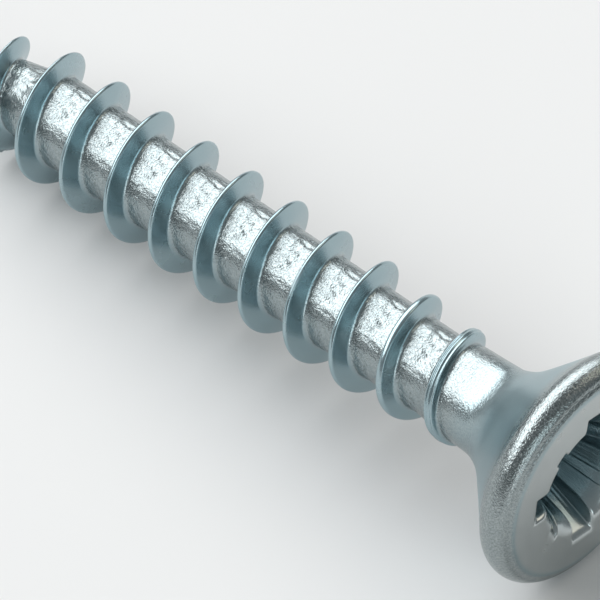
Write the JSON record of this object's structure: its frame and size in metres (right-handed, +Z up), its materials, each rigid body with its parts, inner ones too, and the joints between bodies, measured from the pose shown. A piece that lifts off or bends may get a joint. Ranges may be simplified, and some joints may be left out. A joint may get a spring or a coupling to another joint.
{
  "type": "wood screw",
  "caption": "Countersunk wood screw with a cross recess, plain neck, coarse right-hand thread and sharp point, bright zinc plated.",
  "frame": {"origin": "under the middle of the screw's length, level with the lowest point of the head's rim", "axes": "+X along the screw's axis from the point to the head, +Z up, +Y across"},
  "size_m": [0.03, 0.0086, 0.0086],
  "materials": {
    "zinc_plated_steel": "bright zinc plating with a cool tint"
  },
  "bodies": {
    "root": {"screw": "zinc_plated_steel"}
  },
  "joints": []
}
